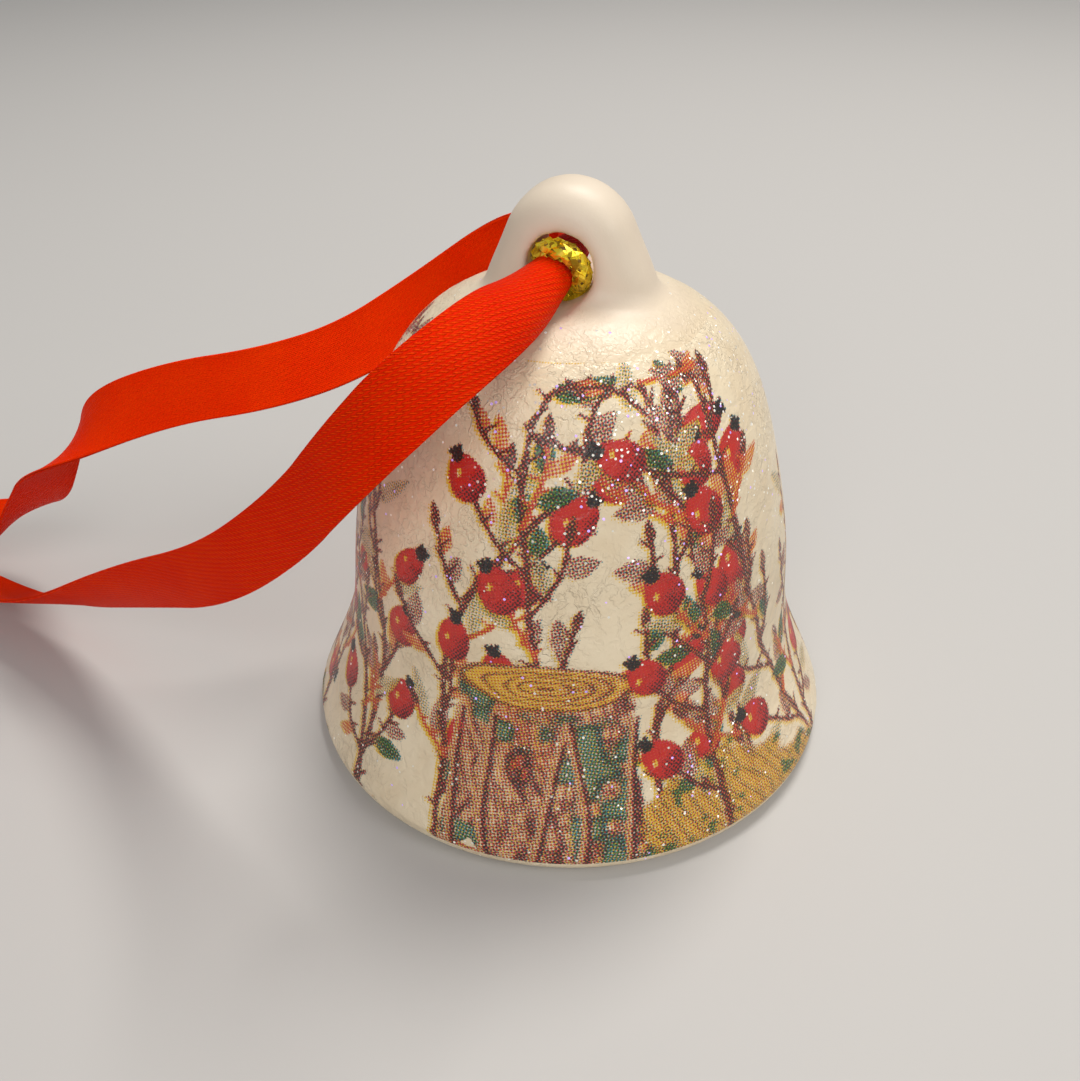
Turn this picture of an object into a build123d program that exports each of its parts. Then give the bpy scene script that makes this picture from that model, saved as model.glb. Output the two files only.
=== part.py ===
"""Small ceramic Christmas bell with a decoupage paper, a hanging ribbon loop and a beaded clapper.

Millimetres. +Z is up, and the origin is the centre of the rim on the surface that it stands on.
The hole of the handle runs along Y, and the ribbon loop lies towards -X.
"""

import os
from math import pi, radians, tan

from build123d import *

os.makedirs("parts", exist_ok=True)

# ---- driving dimensions ----
RIM_RADIUS = 30.0
BODY_HEIGHT = 51.6  # crown of the dome, where the handle starts
OVERALL_HEIGHT = 61.5
LIP_HEIGHT = 2.0  # where the lip is widest
WALL = 2.6
CROWN_THICKNESS = 3.4

HANDLE_TOP_RADIUS = 6.6
HANDLE_BASE_HALF_WIDTH = 9.1
HANDLE_THICKNESS = 9.0
HANDLE_ROOT = BODY_HEIGHT - 3.0
HANDLE_HOLE_WIDTH = 6.6
HANDLE_HOLE_HEIGHT = 7.0
HANDLE_HOLE_Z = 54.1
HANDLE_ROUNDING = 3.6
HANDLE_ROOT_ROUNDING = 2.2
SHOULDER_OUT = 0.92  # of the top radius: where the handle's round top meets its sides
SHOULDER_DOWN = 0.62
CROWN_HOLE_RADIUS = 2.1

PAPER_THICKNESS = 0.15
PAPER_BOTTOM = 1.6
PAPER_TOP = 49.0

CORD_DIAMETER = 1.8
LEG_OUT = (0.76, -0.53)  # of each of the loop's two legs from the axis, in the crown's hole
LEG_TOP = 51.6
GAP = 0.3  # running gap between pieces that move apart

STOP_KNOT_HEIGHT = 4.0
STOP_KNOT_RADIUS = 2.4
BEAD_RADIUS = 6.0
BEAD_Z = 13.9
BEAD_BORE_RADIUS = 1.2
BEAD_BORE_ROUNDING = 0.5
END_KNOT_HEIGHT = 3.2
END_KNOT_RADIUS = 2.1
TAIL_LENGTH = 2.0

RIBBON_WIDTH = 7.0
RIBBON_THICKNESS = 0.36

# ---- sizes that follow from them ----
CROWN_INSIDE_Z = BODY_HEIGHT - CROWN_THICKNESS
CORD_RADIUS = CORD_DIAMETER / 2
LOOP_FOOT_Z = CROWN_INSIDE_Z + 0.1
STOP_KNOT_TOP = LOOP_FOOT_Z - GAP - 0.1
STOP_KNOT_BOTTOM = STOP_KNOT_TOP - STOP_KNOT_HEIGHT
PIVOT_Z = STOP_KNOT_BOTTOM - GAP - CORD_RADIUS
END_KNOT_TOP = BEAD_Z - BEAD_RADIUS - GAP
# a round tube with the flat ribbon's cross-section area, so that it weighs the same
RIBBON_TUBE_RADIUS = (RIBBON_WIDTH * RIBBON_THICKNESS / pi) ** 0.5

# Outside of the bell from the lip to the crown, as (radius, height).
FLANK = [
    (RIM_RADIUS, LIP_HEIGHT),
    (27.8, 7.0),
    (24.9, 14.5),
    (23.8, 23.0),
    (22.4, 31.0),
    (20.3, 39.0),
    (16.4, 46.2),
    (9.6, 50.7),
    (0.0, BODY_HEIGHT),
]

# The ribbon's route: from the knot along the surface, up to the front of the handle's hole, through
# it, and in the air from its rear down to the knot again.
RIBBON_ROUTE = [
    (-97.0, -3.2, 4.0),
    (-84.0, -7.8, 3.4),
    (-66.0, -12.0, 6.0),
    (-46.0, -17.5, 17.4),
    (-31.0, -23.5, 26.0),
    (-20.0, -26.0, 35.5),
    (-12.5, -28.0, 44.5),
    (-6.4, -26.5, 51.0),
    (-1.8, -19.0, 54.3),
    (0.0, -8.5, 54.3),
    (0.0, 9.5, 54.0),
    (-9.5, 14.5, 50.6),
    (-19.5, 11.0, 43.5),
    (-27.0, 4.5, 38.9),
    (-35.0, -1.6, 37.2),
    (-45.0, -5.5, 36.0),
    (-55.0, -8.0, 32.0),
    (-63.5, -6.5, 24.0),
    (-72.0, -2.3, 14.5),
    (-83.0, 1.2, 7.0),
    (-97.0, -0.2, 4.2),
]
# The clapper cord's upper loop between its two legs: it leans forwards to the mouth of the handle's
# hole, and crosses over the ribbon there.
LOOP_ROUTE = [
    (-2.2, -1.2, 53.4),
    (-2.3, -2.4, 54.7),
    (-1.3, -4.0, 56.2),
    (0.9, -4.6, 56.3),
    (2.3, -4.0, 54.6),
    (1.9, -3.2, 52.7),
]
KNOT_CENTRE = (-99.5, -1.7, 4.1)
KNOT_LENGTH = 9.0
KNOT_RADIUS = 4.0
TAIL_RUN = 13.0
KNOT_END_SHARE = 0.62  # how far the knot narrows to its ends
TAIL_DROP = 3.4  # from the knot's middle down to the middle of the two tails
TAIL_STEP = 0.8  # half of the height between the tails
TAIL_SPREAD = 1.5
TAIL_ANGLE = 14.0


def bell_outline(grow):
    """The bell's solid outer form in the XZ plane, its flank moved outwards by grow."""
    moved = [(r + grow if r else 0.0, z + (0 if r else grow)) for r, z in FLANK]
    with BuildSketch(Plane.XZ) as outline:
        with BuildLine():
            flank = Spline(*moved, tangents=((-0.35, 1), (-1, 0)))
            lip = RadiusArc(flank @ 0, (RIM_RADIUS - 1.2 + grow, 0), 1.9)
            Polyline(lip @ 1, (0, 0), flank @ 1)
        make_face()
    return outline.sketch


def spindle(radius, bottom, top):
    """Half of a knot's barrel-shaped profile, to be revolved about Z."""
    flat = 0.65 * radius
    with BuildSketch(Plane.XZ) as half:
        with BuildLine():
            side = Spline((flat, bottom), (radius, (bottom + top) / 2), (flat, top))
            Polyline(side @ 1, (0, top), (0, bottom), side @ 0)
        make_face()
    return half.sketch


def corner_radii(route):
    """The largest tangent arc that each corner of a cord's route leaves room for."""
    points = [Vector(*p) for p in route]
    radii = []
    for before, here, after in zip(points, points[1:], points[2:]):
        first = here - before
        second = after - here
        half_turn = radians(first.get_angle(second)) / 2
        radii.append(0.45 * min(first.length, second.length) / tan(half_turn))
    return radii


def cord_tube(route, radius):
    """A round tube along straight runs that are joined by tangent arcs."""
    radii = corner_radii(route)
    with BuildPart() as tube:
        with BuildLine() as path:
            FilletPolyline(*route, radius=radii)
        with BuildSketch(Plane(origin=path.wire() @ 0, z_dir=path.wire() % 0)):
            Circle(radius)
        sweep(path=path.wire())
    section_times_length = pi * radius**2 * path.wire().length
    print("corner radii", [round(r, 1) for r in radii])
    print("length", round(path.wire().length, 1), "volume", round(tube.part.volume, 1))
    print("section times length", round(section_times_length, 1))
    return tube.part


def near_handle(edges):
    """Those edges that lie within the handle's width and thickness."""
    width = HANDLE_BASE_HALF_WIDTH + 0.5
    depth = HANDLE_THICKNESS / 2 + 0.5
    return edges.filter_by_position(Axis.X, -width, width).filter_by_position(Axis.Y, -depth, depth)


# ---- bell body: one slip casting, the handle drawn out of its crown ----
inner_flank = [
    (RIM_RADIUS - WALL - 0.3, 0.9),
    (25.1, 7.0),
    (22.2, 14.8),
    (21.1, 23.0),
    (19.7, 31.0),
    (17.4, 38.5),
    (13.6, 44.2),
    (7.6, 47.4),
    (0.0, CROWN_INSIDE_Z),
]

with BuildPart() as bell_body:
    revolve(bell_outline(0), axis=Axis.Z)
    with BuildSketch(Plane.XZ.offset(-HANDLE_THICKNESS / 2)) as handle_face:
        with BuildLine():
            shoulder_x = SHOULDER_OUT * HANDLE_TOP_RADIUS
            shoulder_z = OVERALL_HEIGHT - SHOULDER_DOWN * HANDLE_TOP_RADIUS
            top_arc = ThreePointArc(
                (-shoulder_x, shoulder_z),
                (0, OVERALL_HEIGHT),
                (shoulder_x, shoulder_z),
            )
            right = Spline(
                top_arc @ 1,
                (HANDLE_BASE_HALF_WIDTH, HANDLE_ROOT),
                tangents=(top_arc % 1, (0.1, -1)),
            )
            left = Spline(
                (-HANDLE_BASE_HALF_WIDTH, HANDLE_ROOT),
                top_arc @ 0,
                tangents=((0.1, 1), top_arc % 0),
            )
            Line(right @ 1, left @ 0)
        make_face()
    extrude(amount=HANDLE_THICKNESS)
    at_handle = near_handle(bell_body.edges())
    rims = at_handle.filter_by_position(Axis.Z, BODY_HEIGHT, OVERALL_HEIGHT + 1)
    fillet(rims, HANDLE_ROUNDING)
    at_handle = near_handle(bell_body.edges())
    roots = at_handle.filter_by_position(Axis.Z, HANDLE_ROOT - 1, BODY_HEIGHT + 0.2)
    fillet(roots, HANDLE_ROOT_ROUNDING)
    with BuildSketch(Plane.XZ.offset(-HANDLE_THICKNESS)) as handle_hole:
        with Locations((0, HANDLE_HOLE_Z)):
            SlotOverall(HANDLE_HOLE_HEIGHT, HANDLE_HOLE_WIDTH, rotation=90)
    extrude(amount=2 * HANDLE_THICKNESS, mode=Mode.SUBTRACT)
    with BuildSketch(Plane.XZ) as hollow:
        with BuildLine():
            inside = Spline(*inner_flank, tangents=((-0.45, 1), (-1, 0)))
            mouth = RadiusArc(inside @ 0, (RIM_RADIUS - WALL + 0.5, 0), -1.2)
            Polyline(mouth @ 1, (0, 0), inside @ 1)
        make_face()
    revolve(axis=Axis.Z, mode=Mode.SUBTRACT)
    with Locations((0, 0, BODY_HEIGHT)):
        Cylinder(CROWN_HOLE_RADIUS, 2 * CROWN_THICKNESS + 1, mode=Mode.SUBTRACT)

bell_body.part.label = "bell_body"
export_step(bell_body.part, "parts/bell_body.step")

# ---- decoupage paper: a thin printed sleeve glued round the flank ----
with BuildPart() as decoupage_paper:
    revolve(bell_outline(PAPER_THICKNESS), axis=Axis.Z)
    with BuildSketch(Plane.XY.offset(PAPER_BOTTOM)):
        Circle(2 * RIM_RADIUS)
    extrude(amount=PAPER_TOP - PAPER_BOTTOM, mode=Mode.INTERSECT)
    revolve(bell_outline(0), axis=Axis.Z, mode=Mode.SUBTRACT)

decoupage_paper.part.label = "decoupage_paper"
export_step(decoupage_paper.part, "parts/decoupage_paper.step")

# ---- clapper cord's upper loop: over the ribbon and down through the crown ----
left_leg = [(-LEG_OUT[0], -LEG_OUT[1], z) for z in (LOOP_FOOT_Z, LEG_TOP)]
right_leg = [(*LEG_OUT, z) for z in (LEG_TOP, LOOP_FOOT_Z)]
with BuildPart() as clapper_cord_loop:
    add(cord_tube(left_leg + LOOP_ROUTE + right_leg, CORD_RADIUS))

clapper_cord_loop.part.label = "clapper_cord_loop"
export_step(clapper_cord_loop.part, "parts/clapper_cord_loop.step")

# ---- stop knot, tied in the cord under the crown ----
with BuildPart() as cord_stop_knot:
    revolve(spindle(STOP_KNOT_RADIUS, STOP_KNOT_BOTTOM, STOP_KNOT_TOP), axis=Axis.Z)

cord_stop_knot.part.label = "cord_stop_knot"
export_step(cord_stop_knot.part, "parts/cord_stop_knot.step")

# ---- clapper cord: the hanging length, its top rounded about the point that it swings from ----
with BuildPart() as clapper_cord:
    with BuildSketch(Plane.XZ) as cord_half:
        with BuildLine():
            rounded_top = RadiusArc((0, PIVOT_Z + CORD_RADIUS), (CORD_RADIUS, PIVOT_Z), CORD_RADIUS)
            Polyline(rounded_top @ 1, (CORD_RADIUS, END_KNOT_TOP), (0, END_KNOT_TOP), rounded_top @ 0)
        make_face()
    revolve(axis=Axis.Z)

clapper_cord.part.label = "clapper_cord"
export_step(clapper_cord.part, "parts/clapper_cord.step")

# ---- clapper bead, threaded on the cord ----
with BuildPart() as clapper_bead:
    with Locations((0, 0, BEAD_Z)):
        Sphere(BEAD_RADIUS)
        Cylinder(BEAD_BORE_RADIUS, 2 * BEAD_RADIUS + 1, mode=Mode.SUBTRACT)
    fillet(clapper_bead.edges().filter_by(GeomType.CIRCLE), BEAD_BORE_ROUNDING)

clapper_bead.part.label = "clapper_bead"
export_step(clapper_bead.part, "parts/clapper_bead.step")

# ---- end knot with the cord's short tail ----
END_KNOT_BOTTOM = END_KNOT_TOP - END_KNOT_HEIGHT
with BuildPart() as cord_end_knot:
    revolve(spindle(END_KNOT_RADIUS, END_KNOT_BOTTOM, END_KNOT_TOP), axis=Axis.Z)
    with BuildSketch(Plane.XY.offset(END_KNOT_BOTTOM - TAIL_LENGTH)):
        Circle(CORD_RADIUS)
    extrude(amount=TAIL_LENGTH + 0.5)

cord_end_knot.part.label = "cord_end_knot"
export_step(cord_end_knot.part, "parts/cord_end_knot.step")

# ---- hanging ribbon: one loop of it, a plain round tube of the ribbon's own volume ----
with BuildPart() as hanger_ribbon:
    add(cord_tube(RIBBON_ROUTE, RIBBON_TUBE_RADIUS))

hanger_ribbon.part.label = "hanger_ribbon"
export_step(hanger_ribbon.part, "parts/hanger_ribbon.step")

# ---- ribbon knot: both ends tied together, with two flat tails ----
knot_plane = Plane(origin=KNOT_CENTRE, x_dir=(0, 0, 1), z_dir=(-1, 0, 0))
with BuildPart() as ribbon_knot:
    with BuildSketch(knot_plane.offset(-KNOT_LENGTH / 2)):
        Circle(KNOT_END_SHARE * KNOT_RADIUS)
    with BuildSketch(knot_plane):
        Circle(KNOT_RADIUS)
    with BuildSketch(knot_plane.offset(KNOT_LENGTH / 2)):
        Circle(KNOT_END_SHARE * KNOT_RADIUS)
    loft()
    for side in (1, -1):
        tail_x = KNOT_CENTRE[0] - TAIL_RUN / 2
        tail_y = KNOT_CENTRE[1] + TAIL_SPREAD * side
        with BuildSketch(Plane.XY.offset(KNOT_CENTRE[2] - TAIL_DROP + TAIL_STEP * side)):
            with Locations(Location((tail_x, tail_y), TAIL_ANGLE * side)):
                Rectangle(TAIL_RUN, RIBBON_WIDTH)
        extrude(amount=2 * RIBBON_THICKNESS)

ribbon_knot.part.label = "ribbon_knot"
export_step(ribbon_knot.part, "parts/ribbon_knot.step")
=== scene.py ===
from math import cos, pi, radians, sin, tau

import bmesh
import bpy
import numpy as np
from mathutils import Matrix, Vector
from mathutils.bvhtree import BVHTree


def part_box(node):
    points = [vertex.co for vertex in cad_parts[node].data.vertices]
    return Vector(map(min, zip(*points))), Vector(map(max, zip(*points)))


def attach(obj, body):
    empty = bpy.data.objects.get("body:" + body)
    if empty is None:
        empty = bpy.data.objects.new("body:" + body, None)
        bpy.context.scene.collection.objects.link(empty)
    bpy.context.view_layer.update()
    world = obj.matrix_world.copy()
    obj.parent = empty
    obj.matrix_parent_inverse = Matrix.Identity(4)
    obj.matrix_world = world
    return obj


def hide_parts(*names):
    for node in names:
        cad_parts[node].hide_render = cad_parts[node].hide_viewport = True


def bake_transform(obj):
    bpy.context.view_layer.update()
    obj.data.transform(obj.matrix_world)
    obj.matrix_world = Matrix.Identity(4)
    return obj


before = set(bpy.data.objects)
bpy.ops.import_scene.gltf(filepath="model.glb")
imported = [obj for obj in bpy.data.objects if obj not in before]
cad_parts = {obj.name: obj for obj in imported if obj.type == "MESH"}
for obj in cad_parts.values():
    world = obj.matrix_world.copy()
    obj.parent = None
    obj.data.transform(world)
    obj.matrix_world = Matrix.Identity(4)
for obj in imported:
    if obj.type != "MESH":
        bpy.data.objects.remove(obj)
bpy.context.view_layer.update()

MM = 0.001


# ---------------------------------------------------------------- camera
EYE = Vector((26.55, -98.03, 90.33)) * MM
LOOK_DOWN = 34.39
LOOK_LEFT = 17.02
ROLL = -0.67
LENS = 35.967  # millimetres, on a sensor of 36


def make_camera():
    data = bpy.data.cameras.new("camera")
    data.lens = LENS
    data.sensor_width = 36
    data.clip_start = 0.005
    data.clip_end = 20
    camera = bpy.data.objects.new("camera", data)
    camera.location = EYE
    aim = Matrix.Rotation(radians(LOOK_LEFT), 3, "Z") @ Matrix.Rotation(radians(90 - LOOK_DOWN), 3, "X")
    camera.rotation_euler = (aim @ Matrix.Rotation(radians(ROLL), 3, "Z")).to_euler()
    bpy.context.collection.objects.link(camera)
    bpy.context.scene.camera = camera


make_camera()


# ---------------------------------------------------------------- mesh helpers
def spline_points(points, per_span):
    """Points along the smooth NURBS line that has these control points, in metres."""
    data = bpy.data.curves.new("line", "CURVE")
    data.dimensions = "3D"
    data.resolution_u = per_span
    spline = data.splines.new("NURBS")
    spline.points.add(len(points) - 1)
    for knot, point in zip(spline.points, points):
        knot.co = (*(c * MM for c in point), 1)
    spline.order_u = 3
    spline.use_endpoint_u = True
    holder = bpy.data.objects.new("line", data)
    bpy.context.collection.objects.link(holder)
    mesh = bpy.data.meshes.new_from_object(holder)
    found = np.array([v.co for v in mesh.vertices])
    bpy.data.objects.remove(holder)
    bpy.data.meshes.remove(mesh)
    return found


def unit(vectors):
    return vectors / np.maximum(np.linalg.norm(vectors, axis=-1, keepdims=True), 1e-12)


def smoothstep(low, high, value):
    t = np.clip((value - low) / (high - low), 0, 1)
    return t * t * (3 - 2 * t)


def new_object(name, vertices, faces, material, uv=None, smooth=True):
    """A mesh object; uv gives each vertex's place on the material's pattern, in millimetres."""
    mesh = bpy.data.meshes.new(name)
    mesh.from_pydata([tuple(v) for v in vertices], [], faces)
    if uv is not None:
        layer = mesh.uv_layers.new(name="pattern")
        corner = np.zeros(len(mesh.loops), dtype=np.int32)
        mesh.loops.foreach_get("vertex_index", corner)
        layer.data.foreach_set("uv", np.asarray(uv, np.float32)[corner].ravel())
    mesh.polygons.foreach_set("use_smooth", [smooth] * len(mesh.polygons))
    mesh.materials.append(material)
    obj = bpy.data.objects.new(name, mesh)
    bpy.context.collection.objects.link(obj)
    return obj


def tube_faces(rows, around, first=0):
    """Quads of a closed tube of rows rings, with its two end caps."""
    faces = []
    for i in range(rows - 1):
        for j in range(around):
            a = first + i * around + j
            b = first + i * around + (j + 1) % around
            faces.append((a, b, b + around, a + around))
    last = first + (rows - 1) * around
    faces.append(tuple(range(first + around - 1, first - 1, -1)))
    faces.append(tuple(range(last, last + around)))
    return faces


def face_outwards(obj):
    work = bmesh.new()
    work.from_mesh(obj.data)
    bmesh.ops.recalc_face_normals(work, faces=work.faces)
    work.to_mesh(obj.data)
    work.free()


def carried_frames(path):
    """Tangent and two side directions along a path, turned as little as possible from row to row."""
    along = unit(np.gradient(path, axis=0))
    side = np.cross(along[0], (0.3, 0.9, 0.2))
    sides = []
    for tangent in along:
        side = side - tangent * np.dot(side, tangent)
        side = side / np.linalg.norm(side)
        sides.append(side)
    sides = np.array(sides)
    return along, sides, np.cross(along, sides)


# ---------------------------------------------------------------- material helpers
class Graph:
    """A material's node tree, with one short call for each kind of node."""

    def __init__(self, name):
        self.material = bpy.data.materials.new(name)
        self.material.use_nodes = True
        self.tree = self.material.node_tree
        self.shader = self.tree.nodes["Principled BSDF"]

    def put(self, socket, value):
        if isinstance(value, bpy.types.NodeSocket):
            self.tree.links.new(value, socket)
        elif value is not None:
            socket.default_value = value

    def set(self, **values):
        """Shader inputs by name, with an underscore for each space."""
        for name, value in values.items():
            self.put(self.shader.inputs[name.replace("_", " ")], value)

    def node(self, kind, *values, out=0, **settings):
        node = self.tree.nodes.new("ShaderNode" + kind)
        for name, value in settings.items():
            setattr(node, name, value)
        for socket, value in zip(node.inputs, values):
            self.put(socket, value)
        return node.outputs[out]

    def math(self, operation, *values):
        return self.node("Math", *values, operation=operation)

    def step(self, value, low, high):
        """Rises smoothly from 0 to 1 as value goes from low to high."""
        return self.node("MapRange", value, low, high, 0.0, 1.0, interpolation_type="SMOOTHSTEP")

    def mix(self, factor, a, b, how="MIX"):
        node = self.tree.nodes.new("ShaderNodeMix")
        node.data_type = "RGBA"
        node.blend_type = how
        for index, value in ((0, factor), (6, a), (7, b)):
            self.put(node.inputs[index], value)
        return node.outputs[2]

    def place(self, scale, turn=(0, 0, 0), source="Object"):
        """Coordinates in units of 1/scale metres, or of 1/scale millimetres on the uv pattern."""
        if source == "Object":
            start = self.node("TexCoord", out=3)
        else:
            start = self.node("UVMap", uv_map="pattern")
        if isinstance(scale, (int, float)):
            scale = (scale, scale, scale)
        return self.node("Mapping", start, (0, 0, 0), turn, scale)

    def noise(self, place, detail=2.0, roughness=0.5):
        node = self.tree.nodes.new("ShaderNodeTexNoise")
        self.put(node.inputs["Vector"], place)
        self.put(node.inputs["Scale"], 1.0)
        self.put(node.inputs["Detail"], detail)
        self.put(node.inputs["Roughness"], roughness)
        return node.outputs["Fac"]

    def voronoi(self, place, feature="F1", out="Distance"):
        node = self.tree.nodes.new("ShaderNodeTexVoronoi")
        node.feature = feature
        self.put(node.inputs["Vector"], place)
        self.put(node.inputs["Scale"], 1.0)
        return node.outputs[out]

    def bump(self, height, distance, strength=1.0):
        node = self.tree.nodes.new("ShaderNodeBump")
        self.put(node.inputs["Height"], height)
        self.put(node.inputs["Distance"], distance)
        self.put(node.inputs["Strength"], strength)
        return node.outputs["Normal"]


# ---------------------------------------------------------------- hanging ribbon
UNDERSIDE = 20.0  # added to the place across the ribbon, in mm, on its smooth side
TICK_PITCH = 0.62  # mm along the ribbon from one short float to the next
ROW_PITCH = 0.5  # mm from one row of floats to the next
ROW_SLANT = 0.28  # of the rows across the ribbon, per mm along it
WARP_PITCH = 0.2  # mm between the lengthwise threads


def ribbon_material():
    """Woven satin: rows of short slanting floats over fine lengthwise threads; the floats and the smooth
    side are painted lighter, a painted sheen.
    """
    g = Graph("ribbon_satin")
    split = g.tree.nodes.new("ShaderNodeSeparateXYZ")
    g.put(split.inputs[0], g.place(1.0, source="UV"))
    along, across = split.outputs[0], split.outputs[1]
    wander = g.math("MULTIPLY", g.math("SUBTRACT", g.noise(g.place(0.9, source="UV"), 3), 0.5), 0.5)
    slanting = g.math("MULTIPLY_ADD", along, ROW_SLANT, across)
    rows = g.math("ADD", g.math("DIVIDE", slanting, ROW_PITCH), wander)
    ticks = g.math("ADD", g.math("DIVIDE", along, TICK_PITCH), g.math("MULTIPLY", rows, 1.35))
    row = g.math("ABSOLUTE", g.math("SINE", g.math("MULTIPLY", rows, pi)))
    tick = g.math("ABSOLUTE", g.math("SINE", g.math("MULTIPLY", ticks, pi)))
    smooth_side = g.step(across, UNDERSIDE * 0.4, UNDERSIDE * 0.6)
    plain = g.math("MULTIPLY_ADD", smooth_side, -0.75, 1.0)
    float_ = g.math("MULTIPLY", g.step(row, 0.3, 0.95), g.step(tick, 0.35, 0.95))
    float_ = g.math("MULTIPLY", float_, plain)
    thread = g.math("ABSOLUTE", g.math("SINE", g.math("MULTIPLY", across, pi / WARP_PITCH)))
    yarn = g.noise(g.place((1.0, 11.0, 1.0), source="UV"), 4, 0.65)
    height = g.math("MULTIPLY_ADD", thread, 0.25, g.math("MULTIPLY_ADD", yarn, 0.5, float_))
    patch = g.noise(g.place(0.16, source="UV"), 2)
    deep = g.mix(patch, (0.66, 0.0005, 0.0002, 1), (0.82, 0.003, 0.0004, 1))
    bright = g.mix(patch, (1.0, 0.035, 0.0005, 1), (1.0, 0.085, 0.001, 1))
    # painted sheen: the floats here, and the smooth side on the next line, are painted towards the brighter
    # red
    tone = g.math("MULTIPLY_ADD", yarn, 0.7, g.math("MULTIPLY_ADD", float_, 0.55, -0.12))
    tone = g.math("MULTIPLY_ADD", smooth_side, 0.2, tone)
    g.set(
        Base_Color=g.mix(tone, deep, bright),
        Roughness=g.math("MULTIPLY_ADD", yarn, 0.2, 0.38),
        Normal=g.bump(height, 0.00014, 1.0),
        IOR=1.1,
        Specular_Tint=(1.0, 0.4, 0.2, 1),
        Anisotropic=0.4,
    )
    return g.material


satin = ribbon_material()

# The route's points, as in part.py. At each: how far the band leans over from standing on its edge,
# in degrees, towards the right of its run; and how far it is rolled up across its width, in radians.
RIBBON_ROUTE = [
    ((-97.0, -3.2, 4.0), 80, 1.4),
    ((-84.0, -7.8, 3.4), 80, 0.5),
    ((-66.0, -12.0, 6.0), 60, 0.1),
    ((-46.0, -17.5, 17.4), 20, 0.1),
    ((-31.0, -23.5, 26.0), 0, 0.1),
    ((-20.0, -26.0, 35.5), -10, 0.1),
    ((-12.5, -28.0, 44.5), -20, 0.1),
    ((-6.4, -26.5, 51.0), -30, 0.1),
    ((-1.8, -19.0, 54.3), -40, 0.5),
    ((0.0, -8.5, 54.3), -50, 1.5),
    ((0.0, 9.5, 54.0), -30, 2.6),
    ((-9.5, 14.5, 50.6), 10, 0.6),
    ((-19.5, 11.0, 43.5), 40, 0.2),
    ((-27.0, 4.5, 38.9), 40, 0.1),
    ((-35.0, -1.6, 37.2), 30, 0.1),
    ((-45.0, -5.5, 36.0), 20, 0.1),
    ((-55.0, -8.0, 32.0), 40, 0.1),
    ((-63.5, -6.5, 24.0), 100, 0.1),
    ((-72.0, -2.3, 14.5), 120, 0.1),
    ((-83.0, 1.2, 7.0), 40, 0.3),
    ((-97.0, -0.2, 4.2), 10, 1.4),
]
RIBBON_WIDTH = 7.0
RIBBON_THICKNESS = 0.36
STEPS_PER_SPAN = 24


def ribbon_lines():
    """The ribbon's centreline, with its tangent, half width vector and roll along it."""
    middle = spline_points([point for point, _, _ in RIBBON_ROUTE], STEPS_PER_SPAN)
    turns = spline_points([(lean, roll, 0) for _, lean, roll in RIBBON_ROUTE], STEPS_PER_SPAN) / MM
    lean = np.radians(turns[:, :1])
    along = unit(np.gradient(middle, axis=0))
    right = unit(np.cross(along, (0, 0, 1)))
    upright = np.cross(right, along)
    across = upright * np.cos(lean) + right * np.sin(lean)
    return middle, along, across * (RIBBON_WIDTH * MM / 2), turns[:, 1]


def ribbon_section():
    """The ribbon's closed cross-section: (across, from -1 to 1; through, in mm)."""
    stops = np.concatenate([[-1, -0.985, -0.95, -0.88], np.linspace(-0.75, 0.75, 9), [0.88, 0.95, 0.985, 1]])
    half = RIBBON_THICKNESS / 2
    thick = [half * (0.45 if abs(s) > 0.99 else 1.25 if abs(s) > 0.9 else 1.0) for s in stops]
    upper = list(zip(stops, thick))
    return upper + [(s, -t) for s, t in upper[::-1]]


def flat_strip(name, middle, along, across, rolled, material):
    """A ribbon along a line, its cross-section bent into an arc by rolled."""
    normal = unit(np.cross(along, across))
    section = ribbon_section()
    run = np.concatenate([[0], np.cumsum(np.linalg.norm(np.diff(middle, axis=0), axis=1) / MM)])
    vertices = []
    uv = []
    for point, side, face, roll, distance in zip(middle, across, normal, rolled, run):
        roll = max(roll, 0.01)
        half = np.linalg.norm(side)
        outwards = side / half
        lift = sin(roll) / roll - cos(roll)  # brings the arc's middle of area back to the line
        for share, through in section:
            angle = roll * share
            reach = half * sin(angle) / roll + through * MM * sin(angle)
            rise = half * (1 - cos(angle)) / roll - through * MM * cos(angle) - half * lift / roll / 2
            vertices.append(point + outwards * reach - face * rise)
            side_shift = 0 if through > 0 else UNDERSIDE
            uv.append((distance, share * RIBBON_WIDTH / 2 + side_shift))
    strip = new_object(name, vertices, tube_faces(len(middle), len(section)), material, uv)
    face_outwards(strip)
    return strip


ribbon_path, *ribbon_rest = ribbon_lines()
ribbon = flat_strip("hanger_ribbon_satin", ribbon_path, *ribbon_rest, satin)
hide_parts("hanger_ribbon")
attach(ribbon, "bell")

# ---------------------------------------------------------------- ribbon knot and tails
KNOT_MIDDLE = np.array((-99.5, -1.7, 4.1))
KNOT_TURNS = 2.3
KNOT_ROWS = 150


def make_knot_wrap():
    """The ribbon wound round itself: a short coil about X, drawn in at its two ends."""
    t = np.linspace(0, 1, KNOT_ROWS)
    angle = KNOT_TURNS * tau * t + 0.6
    radius = 2.3 + 0.65 * np.sin(pi * t) + 0.12 * np.sin(9 * angle / 2)
    run = 5.8 * (t - 0.5) + 0.5 * np.sin(angle)
    spoke = np.stack([0 * t, radius * np.cos(angle), radius * np.sin(angle)], 1)
    line = (spoke + np.outer(run, (1, 0, 0)) + KNOT_MIDDLE) * MM
    along = unit(np.gradient(line, axis=0))
    outwards = unit(spoke)
    across = unit(np.cross(outwards, along)) + outwards * (0.25 * np.sin(angle * 1.7))[:, None]
    half = (1.75 + 0.35 * np.sin(angle * 1.3 + 1)) * MM
    rolled = 0.9 + 0.35 * np.sin(angle * 2.1)
    return flat_strip("ribbon_knot_wrap", line, along, unit(across) * half[:, None], rolled, satin)


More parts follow.
